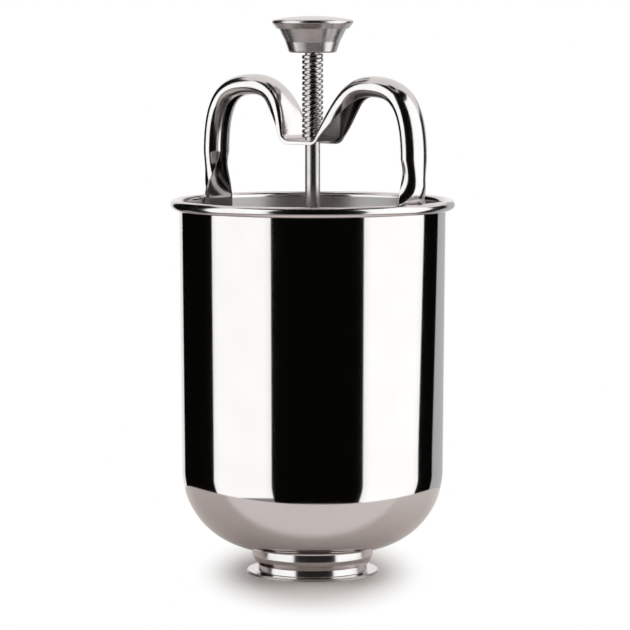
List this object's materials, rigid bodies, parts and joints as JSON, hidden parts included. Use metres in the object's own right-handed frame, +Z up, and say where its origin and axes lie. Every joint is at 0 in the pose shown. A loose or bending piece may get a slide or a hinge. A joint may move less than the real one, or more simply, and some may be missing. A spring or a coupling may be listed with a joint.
{
  "type": "doughnut batter dispenser",
  "caption": "Pressed steel batter dispenser: an open tub with a round bottom, an M-shaped finger handle, and a sprung plunger whose thumb knob opens a plug valve under the outlet.",
  "frame": {"origin": "middle of the valve's base plate on the surface that the dispenser stands on, under the plunger's axis", "axes": "+Z up along the plunger, X along the handle from foot to foot, Y across the handle"},
  "size_m": [0.1136, 0.1136, 0.2226],
  "materials": {
    "mirror_steel": "mirror-polished stainless steel sheet",
    "satin_steel": "drawn stainless steel rod and turned plate",
    "spring_steel": "bright drawn spring wire",
    "plain_steel": "plain steel fasteners"
  },
  "bodies": {
    "vessel": {"vessel_body": "mirror_steel", "outlet_neck": "mirror_steel", "handle": "mirror_steel"},
    "spring": {"return_spring": "spring_steel"},
    "plunger": {"plunger_rod": "satin_steel", "knob_skirt": "mirror_steel", "knob_cap": "mirror_steel", "knob_washer": "plain_steel", "knob_nut": "plain_steel", "valve_cup": "mirror_steel", "valve_base_plate": "satin_steel", "valve_washer": "plain_steel", "valve_nut": "plain_steel"}
  },
  "joints": [
    {"name": "plunger_slide", "type": "slide", "parent": "vessel", "child": "spring", "axis": [0, 0, -1], "range_m": [0, 0.012], "stiffness_N_per_m": 700, "springref_m": -0.01, "deforming": ["return_spring"]},
    {"name": "plunger_turn", "type": "hinge", "parent": "spring", "child": "plunger", "pos_m": [0, 0, 0], "axis": [0, 0, 1], "continuous": true}
  ]
}
